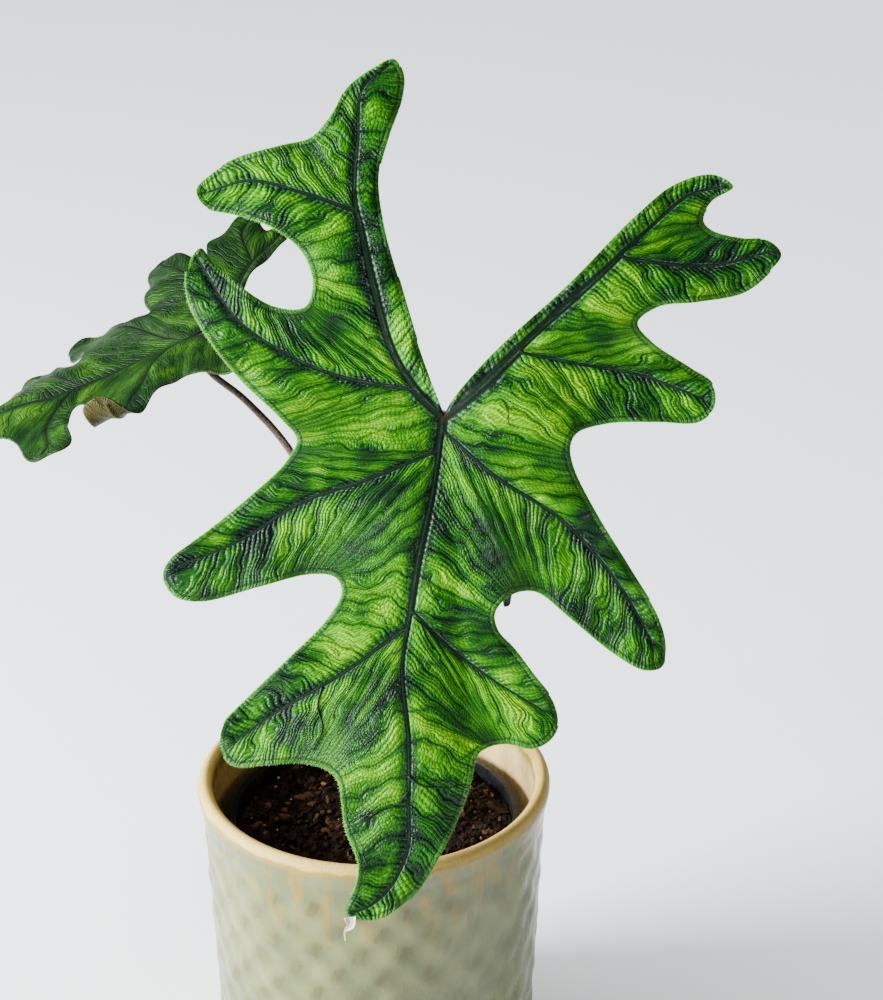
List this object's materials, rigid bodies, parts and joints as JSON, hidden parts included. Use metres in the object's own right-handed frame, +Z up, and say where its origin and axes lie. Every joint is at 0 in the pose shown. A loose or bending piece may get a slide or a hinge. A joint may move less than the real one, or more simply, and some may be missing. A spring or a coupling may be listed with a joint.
{
  "type": "potted alocasia",
  "caption": "Jacklyn alocasia: deeply lobed, dark-veined leaves on thin mottled stalks in soil and a dark grow pot, standing in a pale sage glazed cover pot.",
  "frame": {"origin": "centre of the pot's flat foot, on the surface that it stands on", "axes": "+Z up along the pot's axis, -Y towards the side that the main leaf faces, +X to the right as seen from that side"},
  "size_m": [0.2893, 0.2295, 0.3565],
  "materials": {
    "sage_glaze": "gloss",
    "dark_plastic": "satin",
    "potting_soil": "matte",
    "leaf_green": "satin",
    "stalk_brown": "satin"
  },
  "bodies": {
    "root": {"pot": "sage_glaze", "grow_pot": "dark_plastic", "soil": "potting_soil", "leaf_main": "leaf_green", "leaf_back": "leaf_green", "leaf_young": "leaf_green", "stalk_main": "stalk_brown", "stalk_back": "stalk_brown", "stalk_young": "stalk_brown"}
  },
  "joints": []
}
